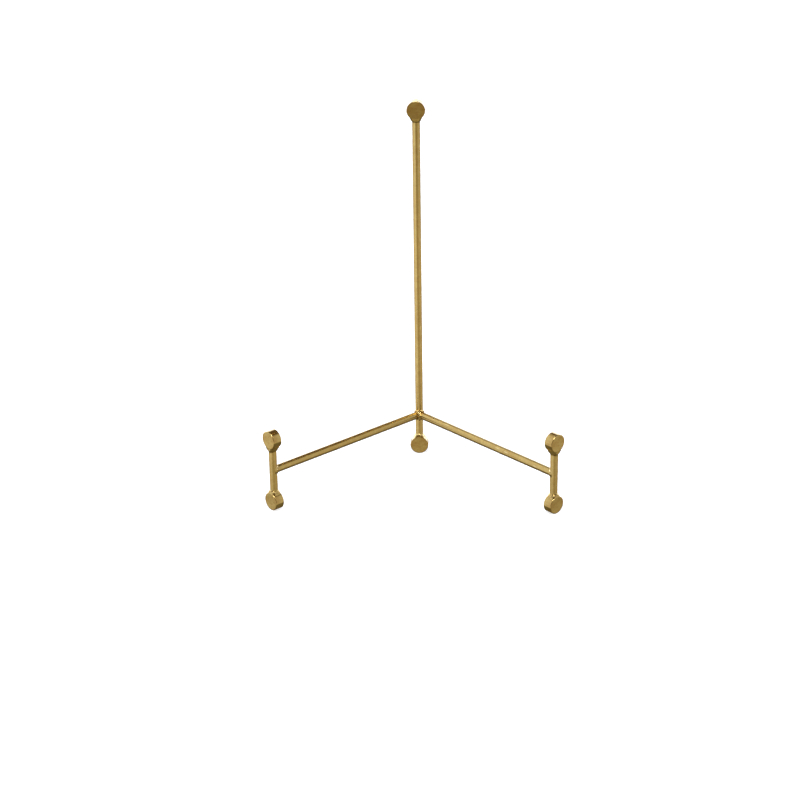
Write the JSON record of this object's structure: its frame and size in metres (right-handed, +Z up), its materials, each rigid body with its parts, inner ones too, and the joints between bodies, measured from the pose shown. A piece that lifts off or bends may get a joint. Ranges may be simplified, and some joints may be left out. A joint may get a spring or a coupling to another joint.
{
  "type": "display easel",
  "caption": "Tabletop display easel of welded gold rod: a tall mast with a round backrest, a V of level arms, and short posts with round stops and feet.",
  "frame": {"origin": "middle of the footprint's box, on the surface that the foot discs stand on", "axes": "+Z up along the mast; -Y is the open front of the V, where the viewer stands; +X to the viewer's right"},
  "size_m": [0.2386, 0.1196, 0.307],
  "materials": {
    "gold_rod": "satin",
    "gold_disc": "satin",
    "gold_weld": "gloss"
  },
  "bodies": {
    "root": {"mast_rod": "gold_rod", "rear_foot_disc": "gold_disc", "rear_foot_weld": "gold_weld", "mast_top_disc": "gold_disc", "mast_top_weld": "gold_weld", "centre_weld": "gold_weld", "left_arm_rod": "gold_rod", "left_post_rod": "gold_rod", "left_arm_weld": "gold_weld", "left_foot_disc": "gold_disc", "left_foot_weld": "gold_weld", "left_stop_disc": "gold_disc", "left_stop_weld": "gold_weld", "right_arm_rod": "gold_rod", "right_post_rod": "gold_rod", "right_arm_weld": "gold_weld", "right_foot_disc": "gold_disc", "right_foot_weld": "gold_weld", "right_stop_disc": "gold_disc", "right_stop_weld": "gold_weld"}
  },
  "joints": []
}
